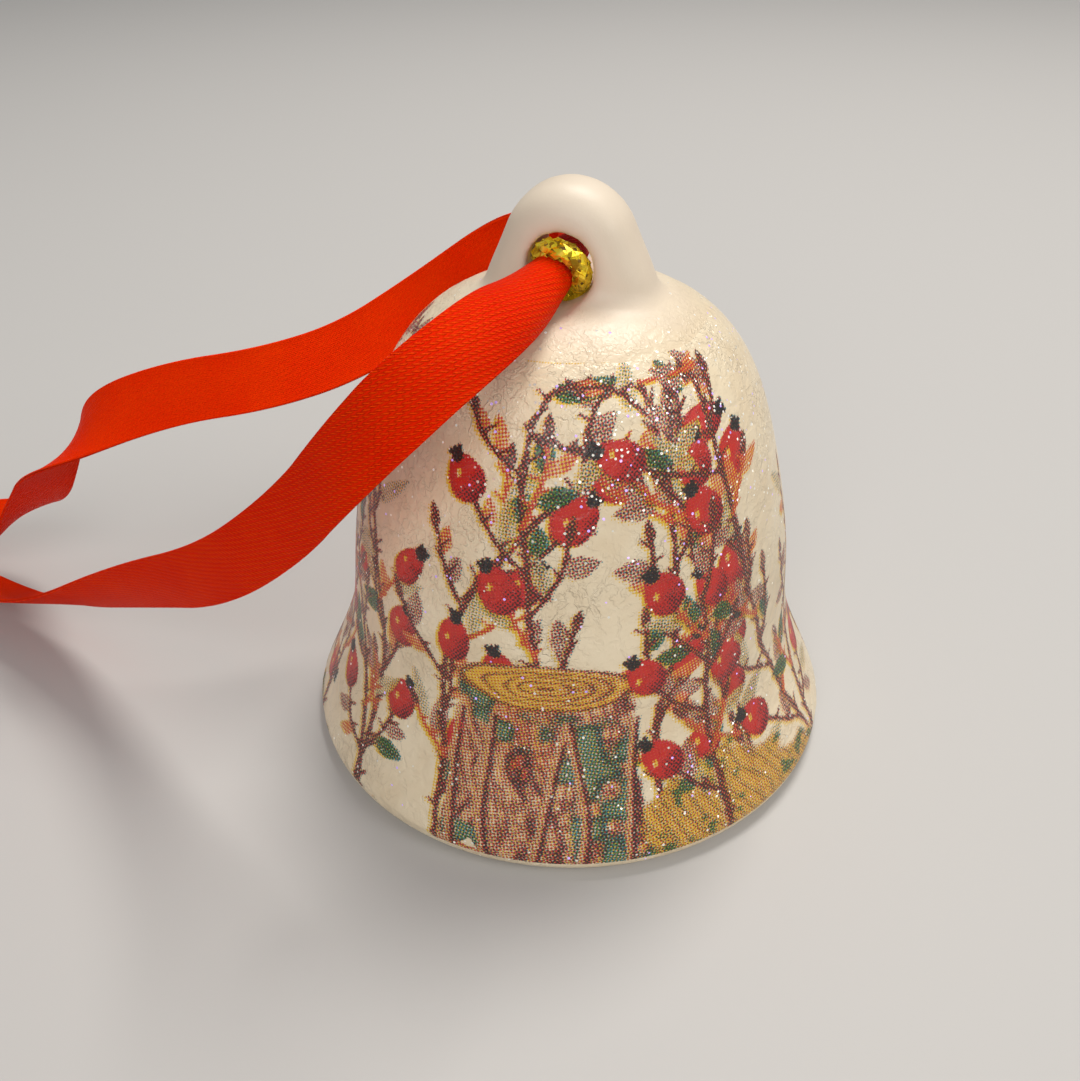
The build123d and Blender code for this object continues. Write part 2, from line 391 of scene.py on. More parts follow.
def make_tail(name, route, widths):
    """A flat tail of the ribbon, from inside the knot to its cut end."""
    line = spline_points(route, 16)
    along = unit(np.gradient(line, axis=0))
    edge = spline_points([[a + b for a, b in zip(p, w)] for p, w in zip(route, widths)], 16) - line
    square = edge - along * np.sum(edge * along, axis=1, keepdims=True)
    rolled = np.linspace(1.5, 0.1, len(line)) ** 2
    return flat_strip(name, line, along, unit(square) * RIBBON_WIDTH * MM / 2, rolled, satin)


knot_wrap = make_knot_wrap()
tail_a = make_tail(
    "ribbon_tail_a",
    [(-98.0, -2.6, 4.0), (-102.5, -3.2, 3.4), (-106.5, -4.6, 1.3), (-110.0, -5.8, 1.5), (-112.2, -6.6, 0.9)],
    [(0.3, 1.5, 2.5), (0.5, 2.8, 1.2), (0.7, 3.2, 0.2), (0.9, 3.1, 0.0), (1.4, 3.2, 0.1)],
)
tail_b = make_tail(
    "ribbon_tail_b",
    [(-98.0, -0.8, 4.2), (-102.5, -0.2, 4.0), (-106.0, 1.0, 2.4), (-109.5, 2.2, 2.0), (-112.0, 3.2, 2.5)],
    [(0.3, 1.5, -2.5), (-0.3, 2.8, -0.9), (-0.7, 3.2, 0.2), (-0.6, 3.2, 0.4), (-1.4, 3.1, 0.5)],
)
for piece in (knot_wrap, tail_a, tail_b):
    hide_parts("ribbon_knot")
    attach(piece, "bell")


# ---------------------------------------------------------------- gold cord
def gold_material():
    """Flat crinkled lame strips: bright yellow facets with brown between them, painted in as glints and dark
    reflections, and a faint painted glow.
    """
    g = Graph("gold_lame")
    fold = g.noise(g.place(1100), 2)
    tone = g.node("SeparateColor", g.voronoi(g.place(1150), out="Color"))
    # painted glints and reflections: each facet is coloured bright yellow or dark brown at random, standing
    # in for the light it would reflect
    glint_facets = g.mix(g.step(tone, 0.25, 0.6), (0.30, 0.14, 0.008, 1), (1.0, 0.76, 0.04, 1))
    g.set(
        # painted glints along the folds: the fold noise lightens the colour to bright yellow
        Base_Color=g.mix(g.step(fold, 0.45, 0.65), glint_facets, (1.0, 0.85, 0.1, 1)),
        Metallic=0.85,
        Roughness=g.math("MULTIPLY_ADD", fold, 0.25, 0.16),
        Normal=g.bump(fold, 0.0001, 0.15),
        # painted glow: the gold gives off a little light of its own
        Emission_Color=(1.0, 0.68, 0.02, 1),
        Emission_Strength=0.06,
    )
    return g.material


def core_material():
    g = Graph("cord_core")
    fibre = g.noise(g.place((2400, 2400, 700)), 3)
    g.set(
        Base_Color=g.mix(fibre, (0.10, 0.045, 0.01, 1), (0.36, 0.2, 0.03, 1)),
        Roughness=0.7,
        Normal=g.bump(fibre, 0.0002, 0.6),
    )
    return g.material


gold = gold_material()
core_yarn = core_material()
STRIP_THICKNESS = 0.07
FACET = 0.75  # mm between the creases of a strip


def along_line(path, spacing):
    """Points along a path, spacing mm apart as nearly as its length allows."""
    run = np.concatenate([[0], np.cumsum(np.linalg.norm(np.diff(path, axis=0), axis=1) / MM)])
    wanted = np.linspace(0, run[-1], int(run[-1] / spacing) + 2)
    return np.stack([np.interp(wanted, run, path[:, axis]) for axis in range(3)], 1), wanted


def braid(name, path, radius, strips, width, pitch, seed):
    """Flat metal strips plaited round a line, over a yarn core; each one creased into small facets."""
    random = np.random.default_rng(seed)
    path, run = along_line(path, FACET)
    along, side, other = carried_frames(path)
    vertices = []
    faces = []
    for k in range(strips):
        hand = 1 if k % 2 else -1
        angle = hand * tau * run / pitch + tau * (k // 2) / (strips / 2) + 0.2 * (k % 2)
        over = 0.12 * np.sin(strips / 2 * (tau * run / pitch) + (0 if k % 2 else pi))
        out = side * np.cos(angle)[:, None] + other * np.sin(angle)[:, None]
        line = path + out * ((radius + over + random.uniform(-0.03, 0.05, len(run))) * MM)[:, None]
        forward = unit(np.gradient(line, axis=0))
        across = unit(np.cross(forward, out))
        crinkles = random.uniform(-0.42, 0.42, len(run))[:, None]
        wide = across * np.cos(crinkles) + out * np.sin(crinkles)
        first = len(vertices)
        for point, w, o in zip(line, wide, out):
            for a, b in ((-1, -1), (1, -1), (1, 1), (-1, 1)):
                vertices.append(point + w * (a * width / 2 * MM) + o * (b * STRIP_THICKNESS / 2 * MM))
        faces += tube_faces(len(line), 4, first)
    plait = new_object(name, vertices, faces, gold, smooth=False)
    face_outwards(plait)
    return plait


def round_core(name, path, radius, around=12):
    """The yarn inside the plait."""
    _, side, other = carried_frames(path)
    vertices = []
    for point, a, b in zip(path, side, other):
        for j in range(around):
            turn = tau * j / around
            vertices.append(point + (a * cos(turn) + b * sin(turn)) * radius * MM)
    core = new_object(name, vertices, tube_faces(len(path), around), core_yarn)
    face_outwards(core)
    return core


LOOP_ROUTE = [
    (-0.76, 0.53, 48.3),
    (-0.76, 0.53, 51.6),
    (-2.2, -1.2, 53.4),
    (-2.3, -2.4, 54.7),
    (-1.3, -4.0, 56.2),
    (0.9, -4.6, 56.3),
    (2.3, -4.0, 54.6),
    (1.9, -3.2, 52.7),
    (0.76, -0.53, 51.6),
    (0.76, -0.53, 48.3),
]
loop_path = spline_points(LOOP_ROUTE, 18)


def knot_path(centre_z, reach, thick, height, rows=130):
    """A tight three-lobed knot about the Z axis."""
    t = np.linspace(0, tau, rows)
    radius = reach + thick * np.cos(3 * t)
    rise = centre_z + height * np.sin(3 * t)
    return np.stack([radius * np.cos(2 * t), radius * np.sin(2 * t), rise], 1) * MM


def fray(name, top, length, seed):
    """The cord's short cut end, its strips spread a little."""
    random = np.random.default_rng(seed)
    vertices = []
    faces = []
    for k in range(9):
        turn = tau * k / 9 + random.uniform(-0.2, 0.2)
        spread = random.uniform(0.5, 1.15)
        long = length * random.uniform(0.8, 1.0)
        out = np.array((cos(turn), sin(turn), 0))
        flat = np.array((-sin(turn), cos(turn), 0))
        first = len(vertices)
        for step in range(7):
            t = step / 6
            point = out * (0.25 + spread * t * t + 0.08 * sin(7 * t + k)) + np.array((0, 0, top - long * t))
            for a, b in ((-1, -1), (1, -1), (1, 1), (-1, 1)):
                vertices.append((point + flat * a * 0.24 + out * b * STRIP_THICKNESS / 2) * MM)
        faces += tube_faces(7, 4, first)
    end = new_object(name, vertices, faces, gold, smooth=False)
    face_outwards(end)
    return end


hang_path = np.stack([np.zeros(190), np.zeros(190), np.linspace(44.6, 7.2, 190)], 1) * MM
stop_path = knot_path(45.9, 1.15, 0.5, 1.15)
end_path = knot_path(6.0, 1.0, 0.42, 0.9)
gold_pieces = [
    (braid("cord_loop_plait", loop_path, 0.84, 10, 0.62, 7.0, 3), "bell", "clapper_cord_loop"),
    (round_core("cord_loop_core", loop_path, 0.72), "bell", "clapper_cord_loop"),
    (braid("stop_knot_plait", stop_path, 0.66, 8, 0.56, 5.6, 5), "stop_knot", "cord_stop_knot"),
    (round_core("stop_knot_core", stop_path, 0.6), "stop_knot", "cord_stop_knot"),
    (braid("end_knot_plait", end_path, 0.58, 8, 0.5, 5.0, 7), "clapper", "cord_end_knot"),
    (round_core("end_knot_core", end_path, 0.52), "clapper", "cord_end_knot"),
    (fray("cord_end_fray", 5.2, 2.6, 9), "clapper", "cord_end_knot"),
]
for piece, body, node in gold_pieces:
    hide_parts(node)
    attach(piece, body)

hanging_pieces = (
    braid("hanging_cord_plait", hang_path, 0.8, 10, 0.6, 6.6, 11),
    round_core("hanging_cord_core", hang_path, 0.7),
)
for piece in hanging_pieces:
    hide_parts("clapper_cord")
    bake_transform(piece)


# ---------------------------------------------------------------- ceramic, varnish and print
CREAM = (0.80, 0.68, 0.49, 1)
CREAM_DEEP = (0.72, 0.58, 0.39, 1)


def crackle(g):
    """Height of the crackled varnish: soft curved ridges of several sizes over lumps."""
    bend = g.noise(g.place(300), 4, 0.6)
    bent = g.node("VectorMath", g.place(1000), g.math("MULTIPLY", bend, 5.0), operation="ADD")
    ridges = g.noise(g.node("VectorMath", bent, (0.75, 0.75, 0.75), operation="MULTIPLY"), 2, 0.5)
    fold = g.math("ABSOLUTE", g.math("SUBTRACT", ridges, 0.5))
    fold = g.step(fold, 0.07, 0.0)
    cells = g.voronoi(g.node("VectorMath", bent, (0.4, 0.4, 0.4), operation="MULTIPLY"), "DISTANCE_TO_EDGE")
    cells = g.step(cells, 0.0, 0.2)
    lumps = g.noise(g.place(700), 4, 0.6)
    where = g.step(g.noise(g.place(130), 2), 0.3, 0.65)
    height = g.math("MULTIPLY_ADD", cells, 0.4, g.math("MULTIPLY", g.math("MULTIPLY", fold, where), 0.6))
    return g.math("MULTIPLY_ADD", lumps, 0.7, height)


def flakes(g, amount):
    """Where glitter lies, 0 or 1, and its own tilted normal and colour."""
    cells = g.place(2500)
    distance = g.voronoi(cells)
    own = g.voronoi(cells, out="Color")
    parts = g.tree.nodes.new("ShaderNodeSeparateColor")
    g.put(parts.inputs[0], own)
    chosen = g.math("LESS_THAN", parts.outputs[0], amount)
    spot = g.math("MULTIPLY", chosen, g.math("LESS_THAN", distance, 0.34))
    tilt = g.node("VectorMath", own, (0.5, 0.5, 0.5), operation="SUBTRACT")
    tilt = g.node("VectorMath", tilt, (0.8, 0.8, 0.8), operation="MULTIPLY")
    return spot, tilt, parts.outputs[1]


def finish_varnished(g, base, height, amount, strength, coated):
    """The shader of a crackle-varnished surface with glitter on it, its flakes also glowing a little as
    painted glints.
    """
    spot, tilt, tint = flakes(g, amount)
    coat = g.bump(height, 0.00013, strength)
    tilted = g.node("VectorMath", g.node("VectorMath", coat, tilt, operation="ADD"), operation="NORMALIZE")
    mixed = g.tree.nodes.new("ShaderNodeMix")
    mixed.data_type = "VECTOR"
    g.put(mixed.inputs[0], spot)
    g.put(mixed.inputs[4], coat)
    g.put(mixed.inputs[5], tilted)
    violet = g.step(tint, 0.78, 0.8)
    flake_and_glint = g.mix(violet, (1.0, 0.97, 0.88, 1), (0.62, 0.42, 1.0, 1))
    g.set(
        Base_Color=g.mix(spot, base, flake_and_glint),
        Metallic=g.math("MULTIPLY", spot, 0.5),
        Roughness=g.math("MULTIPLY_ADD", spot, -0.2, 0.5),
        Normal=mixed.outputs[1],
        Coat_Weight=coated,
        Coat_Roughness=0.2,
        Coat_Normal=coat,
        # painted glints: the flakes glow with their own colour, the more so the higher their tint
        Emission_Color=flake_and_glint,
        Emission_Strength=g.math("MULTIPLY", spot, g.math("MULTIPLY", g.math("POWER", tint, 3.0), 0.7)),
    )


def ceramic_material():
    """Cream bisque: varnished and crackled on the flank and everywhere below the handle's foot, inside too;
    plainer on the handle.
    """
    g = Graph("cream_ceramic")
    point = g.node("TexCoord", out=3)
    split = g.tree.nodes.new("ShaderNodeSeparateXYZ")
    g.put(split.inputs[0], point)
    blotch = g.noise(g.place(110), 4, 0.6)
    grain = g.noise(g.place(3200), 3, 0.7)
    dust = g.step(g.noise(g.place(650), 2), 0.70, 0.76)
    height = crackle(g)
    onto_handle = g.step(g.math("ADD", split.outputs[2], g.math("MULTIPLY", blotch, 0.004)), 0.0505, 0.0545)
    varnished = g.math("SUBTRACT", 1.0, onto_handle)
    rough = g.math("MULTIPLY_ADD", grain, 0.16, g.math("MULTIPLY", height, varnished))
    warm = g.mix(g.step(blotch, 0.35, 0.7), CREAM, CREAM_DEEP)
    warm = g.mix(g.math("MULTIPLY", dust, 0.3), warm, (0.55, 0.36, 0.19, 1))
    warm = g.mix(onto_handle, warm, g.mix(blotch, (0.78, 0.68, 0.55, 1), (0.66, 0.55, 0.43, 1)))
    amount, coated = (g.math("MULTIPLY", varnished, share) for share in (0.06, 0.35))
    finish_varnished(g, warm, rough, amount, 0.8, coated)
    return g.material


UNEVEN = ((0.045, 0.31, 0.12, 0.21, 1.3), (0.035, -0.16, 0.27, 0.18, 0.4), (0.02, 0.5, -0.4, 0.33, 2.2))


def unevenness(points):
    """The casting's gentle lumps, in mm, at points in mm."""
    total = 0
    for size, a, b, c, start in UNEVEN:
        total = total + size * np.sin(points @ np.array((a, b, c)) + start)
    return total


VOXEL = 0.42  # mm
FIRM = 1.2  # mm above the surface it stands on, below which the casting isn't moved


def make_bell_body():
    """The casting, remeshed from its solid so that its edges soften as glaze and slip soften them."""
    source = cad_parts["bell_body"]
    rough = bpy.data.objects.new("bell_body_rough", source.data.copy())
    bpy.context.collection.objects.link(rough)
    remesh = rough.modifiers.new("remesh", "REMESH")
    remesh.mode = "VOXEL"
    remesh.voxel_size = VOXEL * MM
    soften = rough.modifiers.new("soften", "SMOOTH")
    soften.factor = 0.5
    soften.iterations = 9
    bpy.context.view_layer.update()
    mesh = bpy.data.meshes.new_from_object(rough.evaluated_get(bpy.context.evaluated_depsgraph_get()))
    bpy.data.objects.remove(rough)
    mesh.materials.clear()
    mesh.materials.append(ceramic)
    co = np.zeros(len(mesh.vertices) * 3)
    mesh.vertices.foreach_get("co", co)
    normal = np.zeros(len(mesh.vertices) * 3)
    mesh.vertex_normals.foreach_get("vector", normal)
    co = co.reshape(-1, 3)
    moved = unevenness(co / MM) * smoothstep(FIRM, 4 * FIRM, co[:, 2] / MM) * MM
    co += normal.reshape(-1, 3) * moved[:, None]
    mesh.vertices.foreach_set("co", co.ravel())
    mesh.polygons.foreach_set("use_smooth", [True] * len(mesh.polygons))
    bell = bpy.data.objects.new("bell_body_casting", mesh)
    bpy.context.collection.objects.link(bell)
    return bell


ceramic = ceramic_material()
bell_body = make_bell_body()
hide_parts("bell_body")
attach(bell_body, "bell")


# ---- the printed paper's form: the flank's own profile, measured on the CAD paper ----
def paper_profile():
    """Radius at each height of the paper's outside, in mm."""
    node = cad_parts["decoupage_paper"]
    tree = BVHTree.FromPolygons([v.co for v in node.data.vertices], [p.vertices for p in node.data.polygons])
    low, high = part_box("decoupage_paper")
    heights = np.linspace(low.z + 0.05 * MM, high.z - 0.05 * MM, 300)
    away = 0.08
    radii = []
    for z in heights:
        hit = tree.ray_cast(Vector((away, 0, z)), Vector((-1, 0, 0)))[0]
        radii.append(hit.x)
    return heights / MM, np.array(radii) / MM


PATTERN_RADIUS = 23.5  # mm; the flank's middling radius, for patterns
ROWS = 248
COLUMNS = 800
heights, radii = paper_profile()
slants = np.concatenate([[0], np.cumsum(np.hypot(np.diff(heights), np.diff(radii)))])
row_slant = np.linspace(0, slants[-1], ROWS)
row_z = np.interp(row_slant, slants, heights)
row_r = np.interp(row_slant, slants, radii)
column_turn = np.linspace(-180, 180, COLUMNS + 1)
TURN, SLANT = np.meshgrid(np.radians(column_turn), row_slant)
RADIUS = np.repeat(row_r[:, None], COLUMNS + 1, 1)
HEIGHT = np.repeat(row_z[:, None], COLUMNS + 1, 1)


def slant_at(z):
    return float(np.interp(z, row_z, row_slant))


def radius_at(z):
    return float(np.interp(z, row_z, row_r))


def lattice(cell, seed):
    """Smooth random numbers over the paper, 0 to 1, with features of about cell mm."""
    random = np.random.default_rng(seed)
    around = int(round(tau * PATTERN_RADIUS / cell))
    up = int(row_slant[-1] / cell) + 3
    table = random.random((up, around))
    x = (TURN / tau + 0.5) * around
    y = SLANT / cell
    x0 = np.floor(x).astype(int)
    y0 = np.floor(y).astype(int)
    fx = smoothstep(0, 1, x - x0)
    fy = smoothstep(0, 1, y - y0)
    x0, x1 = x0 % around, (x0 + 1) % around
    low = table[y0, x0] * (1 - fx) + table[y0, x1] * fx
    high = table[y0 + 1, x0] * (1 - fx) + table[y0 + 1, x1] * fx
    return low * (1 - fy) + high * fy


speck = lattice(0.3, 21)
fleck = lattice(0.7, 22)
drift = lattice(2.0, 23)
wash = lattice(6.0, 24)

# inks: cyan, magenta, yellow, black, each from 0 to 1
inks = np.zeros((ROWS, COLUMNS + 1, 4))
RED = (0.05, 0.97, 0.88, 0.02)
DEEP_RED = (0.4, 1.0, 0.75, 0.72)
IVORY = (0.0, 0.12, 0.35, 0.0)
TWIG = (0.35, 0.72, 0.6, 0.62)
RUST = (0.08, 0.72, 0.9, 0.12)
BLACK = (0.6, 0.6, 0.5, 0.95)
GREEN = (0.88, 0.35, 0.85, 0.42)
PALE_GREEN = (0.34, 0.16, 0.5, 0.14)
PURPLE_GREY = (0.35, 0.52, 0.34, 0.3)
ORANGE = (0.0, 0.58, 0.72, 0.02)
BARK = (0.10, 0.40, 0.46, 0.10)
BARK_DARK = (0.48, 0.72, 0.52, 0.66)
TEAL = (0.85, 0.42, 0.62, 0.5)
LEAF_TEAL = (0.62, 0.2, 0.5, 0.2)
OLIVE = (0.35, 0.42, 0.85, 0.4)
GRASS = (0.1, 0.34, 0.82, 0.2)
SAWN = (0.0, 0.27, 0.88, 0.0)
RING = (0.3, 0.55, 0.75, 0.5)
PALE_ROOT = (0.14, 0.44, 0.48, 0.22)


def window(turns, zs, margin):
    """Rows and columns of the part of the paper that lies round these places."""
    low = np.searchsorted(row_z, min(zs) - margin)
    high = np.searchsorted(row_z, max(zs) + margin)
    reach = np.degrees(margin / 13)
    left = np.searchsorted(column_turn, min(turns) - reach)
    right = np.searchsorted(column_turn, max(turns) + reach)
    return slice(low, max(high, low + 1)), slice(left, max(right, left + 1))


def print_ink(part, mask, ink):
    """Lays ink on part of the paper; mask may be partial."""
    inks[part] = inks[part] * (1 - mask[..., None]) + mask[..., None] * np.asarray(ink)


def smooth_line(points, steps=5):
    """More points along a line, rounded at its corners."""
    points = np.array(points, float)
    if len(points) == 2:
        return points
    padded = np.vstack([2 * points[0] - points[1], points, 2 * points[-1] - points[-2]])
    found = []
    for a, b, c, d in zip(padded, padded[1:], padded[2:], padded[3:]):
        for t in np.arange(steps) / steps:
            bend = (2 * a - 5 * b + 4 * c - d) * t**2 + (3 * b - a - 3 * c + d) * t**3
            found.append(0.5 * (2 * b + (c - a) * t + bend))
    return np.array(found + [points[-1]])


def twig(points, thick, thin, ink=TWIG, solid=0.85):
    """A printed stem through (azimuth, height) places, tapering from thick to thin, in mm."""
    line = smooth_line(points)
    part = window(line[:, 0], line[:, 1], 2.0)
    turn, slant, radius = TURN[part], SLANT[part], RADIUS[part]
    nearest = np.full(turn.shape, 99.0)
    share = np.zeros(turn.shape)
    for i, (a, b) in enumerate(zip(line, line[1:])):
        ax = (np.radians(a[0]) - turn) * radius
        ay = slant_at(a[1]) - slant
        ex = np.radians(b[0] - a[0]) * radius
        ey = slant_at(b[1]) - slant_at(a[1])
        t = np.clip(-(ax * ex + ay * ey) / (ex**2 + ey**2 + 1e-9), 0, 1)
        distance = np.hypot(ax + t * ex, ay + t * ey)
        closer = distance < nearest
        nearest = np.where(closer, distance, nearest)
        share = np.where(closer, (i + t) / (len(line) - 1), share)
    half = (thick + (thin - thick) * share) / 2 * (0.6 + 0.8 * fleck[part])
    mask = smoothstep(0.14, -0.08, nearest - half) * (solid + (1 - solid) * speck[part])
    print_ink(part, mask, ink)


def local(turn, z, reach, tilt):
    """Axes in mm about one place, the first one tilted up from the level by tilt degrees."""
    part = window((turn, turn), (z, z), reach)
    x = (TURN[part] - radians(turn)) * RADIUS[part]
    y = SLANT[part] - slant_at(z)
    c, s = cos(radians(tilt)), sin(radians(tilt))
    return part, x * c + y * s, y * c - x * s


def leaf(turn, z, tilt, length, wide, ink, solid=0.85, vein=0.25):
    """A leaf with its middle at a place; it points along tilt."""
    part, u, v = local(turn, z, length, tilt)
    t = np.clip(u / length + 0.5, 0, 1)
    half = wide / 2 * np.sin(pi * t**0.8) ** 0.75
    ragged = 0.18 * (speck[part] - 0.5) + 0.12 * (fleck[part] - 0.5)
    inside = smoothstep(0.1, -0.08, np.abs(v) - half + ragged)
    inside = inside * (np.abs(u) < length / 2)
    tone = solid * (0.78 + 0.35 * fleck[part])
    print_ink(part, np.clip(inside * tone, 0, 1), ink)
    rib = smoothstep(0.16, 0.02, np.abs(v)) * inside * vein
    print_ink(part, rib, BLACK)


def hip(turn, z, tilt, length, wide, dark, gleam):
    """A rose hip with its middle at a place; its black crown points along tilt."""
    part, u, v = local(turn, z, length * 1.3, tilt)
    c, s = cos(radians(tilt)), sin(radians(tilt))
    half = wide / 2
    long = length / 2
    right, up = (u * c - v * s) / half, (u * s + v * c) / half
    bulge = 1 - 0.16 * np.clip(u / long, -1, 1)
    away = np.sqrt((u / long) ** 2 + (v / half / bulge) ** 2)
    inside = smoothstep(1.07, 0.93, away + 0.05 * (speck[part] - 0.5))
    print_ink(part, inside, RED)
    shade = smoothstep(-0.1, 1.1, 0.8 * right - 0.55 * up + 0.7 * (fleck[part] - 0.4))
    print_ink(part, inside * shade * dark, DEEP_RED)
    print_ink(part, smoothstep(0.8, 1.0, away) * inside * 0.3, DEEP_RED)
    shine = smoothstep(1.0, 0.4, np.hypot((right + 0.4) / 0.2, (up - gleam) / 0.3))
    print_ink(part, shine * inside * 0.9, IVORY)
    crown = np.hypot((u - long * 0.94) / 0.9, v) - 0.62 - 0.35 * (fleck[part] - 0.3)
    crown = smoothstep(0.1, -0.1, crown)
    print_ink(part, crown, BLACK)
    for side in (-0.45, 0.0, 0.45):
        lobe = np.hypot((u - long * 1.06 - 0.3) / 1.4, v - side * 1.2) - 0.2
        print_ink(part, smoothstep(0.1, -0.05, lobe), BLACK)


ALL = (slice(None), slice(None))


def streaks(turn, lean, pitch, seed):
    """Long fibres, 0 to 1, running up the paper and leaning by lean mm per mm."""
    x = (TURN - radians(turn)) * PATTERN_RADIUS - lean * SLANT
    wave = np.sin(tau * x / pitch + 2.5 * lattice(3.0, seed) * tau / 2)
    return 0.5 + 0.5 * wave * (0.5 + 0.5 * lattice(0.9, seed + 1))


# ---- the print's layout: a stump on a bank, and a briar grown round it by rule and seeded chance ----
PRINT_TOP = 47.5  # mm above the rim
SEAM_SHIFTS = (-360, 0, 360)  # what crosses the paper's seam is drawn on both of its sides
STUMP_TURN = 10  # degrees
STUMP_HEIGHT = 20.0
STUMP_HALF = 9.0  # mm, half its width at the sawn top
SAWN_HALF = 2.6  # mm, half the height of the sawn top's ellipse
BANKS = ((50, 26, 9), (160, 34, 7), (-110, 34, 8))  # middle and spread in degrees, height in mm


def step_from(place, heading, reach):
    """The place reach mm away, along a heading in degrees above the level."""
    turn, z = place
    turn += np.degrees(reach * cos(radians(heading)) / radius_at(z))
    return turn, min(z + reach * sin(radians(heading)), PRINT_TOP)


def grow(root, heading, length, bend, random):
    """A stem's places with its heading at each; it bends by about bend degrees in all."""
    count = max(3, round(length / 4.5))
    places, headings = [root], [heading]
    for _ in range(count):
        heading += bend / count + random.uniform(-13, 13)
        places.append(step_from(places[-1], heading, length / count))
        headings.append(heading)
    return places, headings


def print_stump():
    """The old stump: bark with moss and a knot, roots at its foot, and a ringed sawn top."""
    x = (TURN - radians(STUMP_TURN)) * RADIUS
    low = np.clip(1 - HEIGHT / STUMP_HEIGHT, 0, 1)
    half = STUMP_HALF + 3.5 * low**3 + 1.4 * (drift - 0.5)
    side = smoothstep(0.3, -0.3, np.abs(x) - half) * smoothstep(-0.3, 0.3, STUMP_HEIGHT - HEIGHT)
    grain = streaks(STUMP_TURN, -0.12, 2.0, 31)
    fine = streaks(STUMP_TURN, -0.2, 0.9, 37)
    broken = smoothstep(0.25, 0.7, drift)
    shaded = smoothstep(-0.6, 1.0, x / STUMP_HALF)
    print_ink(ALL, side * 0.95, BARK)
    print_ink(ALL, side * smoothstep(0.5, 0.9, grain) * broken * 0.8, BARK_DARK)
    print_ink(ALL, side * smoothstep(0.6, 0.9, fine) * (1 - 0.6 * broken) * 0.6, BARK_DARK)
    print_ink(ALL, side * smoothstep(0.3, 0.75, fleck) * (0.3 + 0.35 * shaded), BARK_DARK)
    print_ink(ALL, side * smoothstep(0.6, 0.8, wash) * (1 - shaded) * 0.25, RUST)
    mossy = side * smoothstep(0.5, 0.62, wash) * smoothstep(0.3, 0.55, drift)
    print_ink(ALL, mossy * (0.7 + 0.3 * fleck), TEAL)
    print_ink(ALL, mossy * smoothstep(0.55, 0.7, drift) * 0.75, LEAF_TEAL)
    knot = np.hypot((x + 2.5) / 1.5, (HEIGHT - 11) / 2.2)
    print_ink(ALL, smoothstep(1.3, 0.9, knot + 0.3 * fleck) * 0.85, BARK_DARK)
    print_ink(ALL, smoothstep(0.75, 0.5, knot) * smoothstep(0.3, 0.6, fleck) * 0.7, RUST)

    random = np.random.default_rng(50)
    for reach in (-10, -6, -1, 4, 9):
        root = (STUMP_TURN + np.degrees(reach / radius_at(2)), 1.2)
        places, _ = grow(root, 90 - reach, 15, 3 * reach, random)
        twig(places, 1.1, 0.5, PALE_ROOT, 0.85)
        twig([step_from(p, 0, 0.55) for p in places], 0.5, 0.3, BARK_DARK, 0.8)

    away = np.hypot(x / STUMP_HALF, (HEIGHT - STUMP_HEIGHT) / SAWN_HALF) + 0.12 * (drift - 0.5)
    top = smoothstep(1.04, 0.96, away)
    print_ink(ALL, top * 0.97, SAWN)
    rings = np.sin(tau * 4.5 * away + 1.2 * fleck)
    print_ink(ALL, top * smoothstep(0.2, 0.8, rings) * 0.8, RING)
    print_ink(ALL, top * smoothstep(0.9, 1.0, away) * 0.8, BARK_DARK)
    print_ink(ALL, top * shaded * fleck * 0.6, BARK_DARK)


def print_bank():
    """Grass at the stump's foot, and two more banks on the rear."""
    reach = 0.8 + 2.4 * (drift - 0.5)
    for middle, spread, tall in BANKS:
        away = (np.degrees(TURN) - middle + 180) % 360 - 180
        reach = reach + tall * np.exp(-((away / spread) ** 2))
    bank = smoothstep(0.5, -0.5, HEIGHT - reach) * smoothstep(1.5, 2.5, reach)
    blades = streaks(40, -0.55, 1.3, 45)
    print_ink(ALL, bank * 0.9, GRASS)
    print_ink(ALL, bank * smoothstep(0.55, 0.8, blades) * 0.75, OLIVE)
    print_ink(ALL, bank * smoothstep(0.45, 0.8, fleck) * smoothstep(0.4, 0.6, wash) * 0.6, OLIVE)
    print_ink(ALL, bank * smoothstep(0.55, 0.8, drift) * smoothstep(0.35, 0.7, fleck) * 0.8, GREEN)


def spurred(points, thick, thin, random, ink=TWIG):
    """A stem with short thorns standing off it on alternate sides."""
    twig(points, thick, thin, ink)
    hand = 1
    for start, end in zip(points, points[1:]):
        for share in (0.3, 0.8):
            at = tuple(a + (b - a) * share for a, b in zip(start, end))
            rise = random.uniform(20, 60)
            tip = step_from(at, rise if hand > 0 else 180 - rise, random.uniform(0.8, 1.7))
            twig([at, tip], 0.42, 0.2, ink)
            hand = -hand


LEAF_KINDS = (
    (GREEN, 0.95, 0.45, 3.8, 2.0),
    (PALE_GREEN, 0.85, 0.2, 5.0, 1.8),
    (PURPLE_GREY, 0.95, 0.25, 4.2, 2.3),
    (PURPLE_GREY, 0.95, 0.25, 3.2, 1.8),
    (ORANGE, 0.95, 0.1, 3.4, 1.5),
)  # ink, solidity, vein, length, width


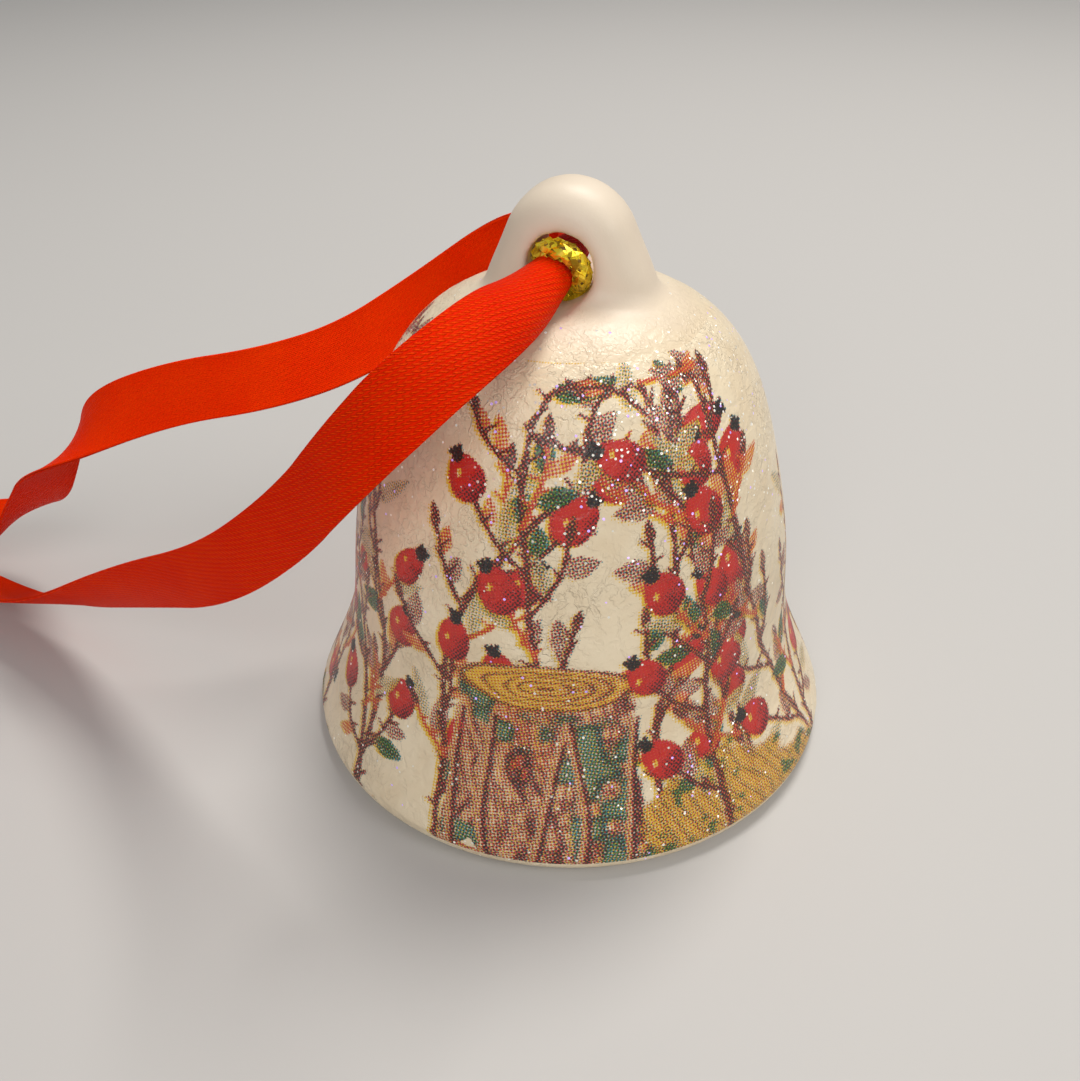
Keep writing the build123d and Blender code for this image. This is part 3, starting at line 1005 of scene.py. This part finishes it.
def grow_spray(root, length, random):
    """One briar: its stems, leaves and hips, as the values that their drawing functions take."""
    main, headings = grow(root, random.uniform(70, 110), length, random.uniform(-35, 35), random)
    stems = [(main, 0.75, 0.55, TWIG)]
    leaves, hips = [], []
    hand = random.choice((-1, 1))
    for number, (place, heading) in enumerate(zip(main[1:], headings[1:])):
        hand = -hand
        side = heading - hand * random.uniform(35, 65)
        twig_places, twig_headings = grow(place, side, random.uniform(5, 9), hand * 25, random)
        stems.append((twig_places, 0.5, 0.38, RUST if number % 3 == 1 else TWIG))
        for at, facing in list(zip(twig_places, twig_headings))[1:-1]:
            ink, solid, vein, long, wide = LEAF_KINDS[random.integers(len(LEAF_KINDS))]
            tilt = facing + random.choice((-1, 1)) * random.uniform(30, 60)
            long = long * random.uniform(0.8, 1.3)
            leaves.append((*step_from(at, tilt, long / 2), tilt, long, wide, ink, solid, vein))
        end, facing = twig_places[-1], twig_headings[-1]
        if number % 2 == 0 and end[1] < PRINT_TOP - 4:
            middle = step_from(end, facing, 2.2)
            gleam = random.uniform(-0.3, 0.4)
            hips.append((*middle, facing, random.uniform(4.6, 5.2), random.uniform(3.2, 4.2), 0.7, gleam))
        else:
            leaves.append((*step_from(end, facing, 1.2), facing, 2.6, 1.1, TWIG, 0.9, 0.2))
    return stems, leaves, hips


def print_briar(sprays, seed):
    """Sprays of briar, each given by its root's azimuth and height and by its length."""
    for number, (turn, z, length) in enumerate(sprays):
        for shift in SEAM_SHIFTS:
            random = np.random.default_rng(seed + number)
            stems, leaves, hips = grow_spray((turn + shift, z), length, random)
            for values in leaves:
                leaf(*values)
            for points, thick, thin, ink in stems:
                spurred(points, thick, thin, random, ink)
            for values in hips:
                hip(*values)


SPRAYS_BEHIND = [(12 + 24 * k, 1.5, 44 + 4 * (k % 2)) for k in range(-7, 8)]
SPRAYS_BEFORE = [(turn, 1.5, 26) for turn in (-78, -34, 50, 85, 120, 155, -150, -110)]


def print_paper():
    print_briar(SPRAYS_BEHIND, 100)
    print_bank()
    print_stump()
    print_briar(SPRAYS_BEFORE, 200)
    random = np.random.default_rng(70)
    for _ in range(14):
        part, u, v = local(random.uniform(-175, 175), random.uniform(5, 45), 0.5, 0)
        print_ink(part, smoothstep(0.28, 0.1, np.hypot(u, v)) * 0.8, BLACK)
    # the yellow and cyan plates are a little out of register
    shifted = np.roll(inks[..., 2], (-1, -2), (0, 1))
    inks[..., 2] = np.maximum(inks[..., 2] * 0.75, shifted)
    inks[..., 0] = np.roll(inks[..., 0], 1, 1)


print_paper()


def glitter_amount():
    """Share of the varnish's flakes that show, over the paper."""
    turn = np.degrees(TURN)
    spread = 0.015 + 0.03 * wash
    for middle, height, wide, tall, much in (
        (62, 46, 34, 9, 0.26), (22, 43, 18, 5, 0.22), (-14, 41, 16, 6, 0.12),
        (40, 8, 22, 8, 0.06), (150, 40, 60, 12, 0.12), (-120, 40, 50, 10, 0.12),
    ):
        near = np.exp(-(((turn - middle) / wide) ** 2) - ((HEIGHT - height) / tall) ** 2)
        spread = spread + much * near * (0.4 + 0.9 * drift)
    return np.clip(spread, 0, 0.5)


glitter = glitter_amount()
EDGE_FADE = 0.5  # mm over which the paper's cut edges thin out


def paper_points():
    """The paper's surface, in mm, thinning into the ceramic at its two edges."""
    lower = row_slant[:, None] - (0.45 * lattice(2.4, 41) + 0.25 * lattice(0.8, 42))
    notch = 0.9 * np.exp(-((np.degrees(TURN) + 4.5) / 1.3) ** 2)
    upper = row_slant[-1] - row_slant[:, None] - 0.3 * lattice(2.4, 43)
    edge = np.minimum(lower - notch, upper)
    lift = 0.19 * (smoothstep(-0.05, EDGE_FADE, edge) - 1) - 0.01
    level = np.stack([RADIUS * np.sin(TURN), -RADIUS * np.cos(TURN), HEIGHT], -1)
    radius = RADIUS + lift + unevenness(level) * smoothstep(FIRM, 4 * FIRM, HEIGHT)
    return np.stack([radius * np.sin(TURN), -radius * np.cos(TURN), HEIGHT], -1)


def paper_material():
    """The print as four halftone screens on cream paper, under crackled varnish."""
    g = Graph("printed_paper")
    ink = g.tree.nodes.new("ShaderNodeVertexColor")
    ink.layer_name = "inks"
    plates = g.tree.nodes.new("ShaderNodeSeparateColor")
    g.put(plates.inputs[0], ink.outputs["Color"])
    amounts = [plates.outputs[0], plates.outputs[1], plates.outputs[2], ink.outputs["Alpha"]]
    colours = ((0.03, 0.38, 0.66, 1), (0.74, 0.015, 0.09, 1), (0.93, 0.68, 0.02, 1), (0.045, 0.035, 0.05, 1))
    blotch = g.noise(g.place(160), 4, 0.6)
    colour = g.mix(g.step(blotch, 0.3, 0.75), CREAM, CREAM_DEEP)
    dust = g.step(g.noise(g.place(900), 2), 0.72, 0.78)
    colour = g.mix(g.math("MULTIPLY", dust, 0.25), colour, (0.5, 0.32, 0.15, 1))
    for amount, tint, angle in zip(amounts, colours, (15, 75, 0, 45)):
        spot = g.place(tau / 0.34, (0, 0, radians(angle)), "UV")
        split = g.tree.nodes.new("ShaderNodeSeparateXYZ")
        g.put(split.inputs[0], spot)
        wave = g.math("ADD", g.math("SINE", split.outputs[0]), g.math("SINE", split.outputs[1]))
        screen = g.math("MULTIPLY_ADD", wave, 0.23, 0.5)
        dot = g.step(g.math("SUBTRACT", amount, screen), -0.1, 0.1)
        dot = g.math("MULTIPLY", dot, g.step(amount, 0.02, 0.12))
        tone = g.math("MULTIPLY_ADD", dot, 0.84, g.math("MULTIPLY", amount, 0.16))
        colour = g.mix(tone, colour, g.mix(1.0, colour, tint, "MULTIPLY"))
    height = crackle(g)
    amount = g.node("Attribute", attribute_name="glitter", out=2)
    finish_varnished(g, colour, height, amount, 1.0, 0.4)
    return g.material


paper = paper_material()


def make_paper(name, first, last, points):
    """The sleeve between two columns of the whole paper; columns past the end wrap round."""
    columns = [c % COLUMNS for c in range(first, last + 1)]
    wide = len(columns)
    vertices = points[:, columns].reshape(-1, 3) * MM
    faces = []
    for i in range(ROWS - 1):
        for j in range(wide - 1):
            a = i * wide + j
            faces.append((a, a + 1, a + 1 + wide, a + wide))
    scale = PATTERN_RADIUS * (RADIUS / PATTERN_RADIUS) ** 0.6
    turn = TURN[:, columns] + tau * (np.array(columns) < first)
    uv = np.stack([turn * scale[:, columns], SLANT[:, columns]], -1).reshape(-1, 2)
    sleeve = new_object(name, vertices, faces, paper, uv)
    layer = sleeve.data.color_attributes.new("inks", "FLOAT_COLOR", "POINT")
    layer.data.foreach_set("color", inks[:, columns].reshape(-1).astype(np.float32))
    extra = sleeve.data.attributes.new("glitter", "FLOAT", "POINT")
    extra.data.foreach_set("value", glitter[:, columns].reshape(-1).astype(np.float32))
    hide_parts("decoupage_paper")
    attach(sleeve, "bell")


sleeve_points = paper_points()
make_paper("printed_paper_front", COLUMNS // 4, 3 * COLUMNS // 4, sleeve_points)
make_paper("printed_paper_back", 3 * COLUMNS // 4, 5 * COLUMNS // 4, sleeve_points)


# ---------------------------------------------------------------- clapper bead
def bead_material():
    g = Graph("cream_glaze")
    pool = g.noise(g.place(180), 3)
    speckle = g.step(g.noise(g.place(1500), 2), 0.68, 0.74)
    base = g.mix(g.step(pool, 0.3, 0.7), CREAM, (0.70, 0.56, 0.38, 1))
    g.set(
        Base_Color=g.mix(g.math("MULTIPLY", speckle, 0.5), base, (0.4, 0.24, 0.1, 1)),
        Roughness=g.math("MULTIPLY_ADD", pool, 0.15, 0.2),
        Normal=g.bump(pool, 0.0004, 0.3),
        Coat_Weight=0.6,
        Coat_Roughness=0.08,
    )
    return g.material


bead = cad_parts["clapper_bead"]
bead.data.materials.clear()
bead.data.materials.append(bead_material())


# ---------------------------------------------------------------- floor and light
def make_floor():
    mesh = bpy.data.meshes.new("floor")
    mesh.from_pydata([(-3, -3, 0), (3, -3, 0), (3, 3, 0), (-3, 3, 0)], [], [(0, 1, 2, 3)])
    g = Graph("floor")
    g.set(Base_Color=(0.50, 0.49, 0.48, 1), Roughness=0.6)
    mesh.materials.append(g.material)
    floor = bpy.data.objects.new("floor", mesh)
    bpy.context.collection.objects.link(floor)


def make_light(name, place, aim, size, power, colour):
    data = bpy.data.lights.new(name, "AREA")
    data.shape = "DISK"
    data.size = size
    data.energy = power
    data.color = colour
    lamp = bpy.data.objects.new(name, data)
    lamp.location = place
    lamp.rotation_euler = (Vector(aim) - Vector(place)).to_track_quat("-Z", "Y").to_euler()
    bpy.context.collection.objects.link(lamp)


make_floor()
make_light("key", (0.06, 0.34, 0.72), (0, 0, 0.03), 0.3, 4.4, (1, 0.96, 0.9))
make_light("fill", (0.1, -0.75, 0.55), (0, 0, 0.03), 0.6, 3.3, (1, 0.98, 0.95))
make_light("side", (0.6, -0.1, 0.4), (0, 0, 0.03), 0.3, 1.2, (1, 0.97, 0.92))
world = bpy.data.worlds.new("world")
bpy.context.scene.world = world
world.use_nodes = True
world.node_tree.nodes["Background"].inputs["Color"].default_value = (0.88, 0.88, 0.88, 1)
world.node_tree.nodes["Background"].inputs["Strength"].default_value = 0.34
bpy.context.scene.view_settings.view_transform = "Standard"
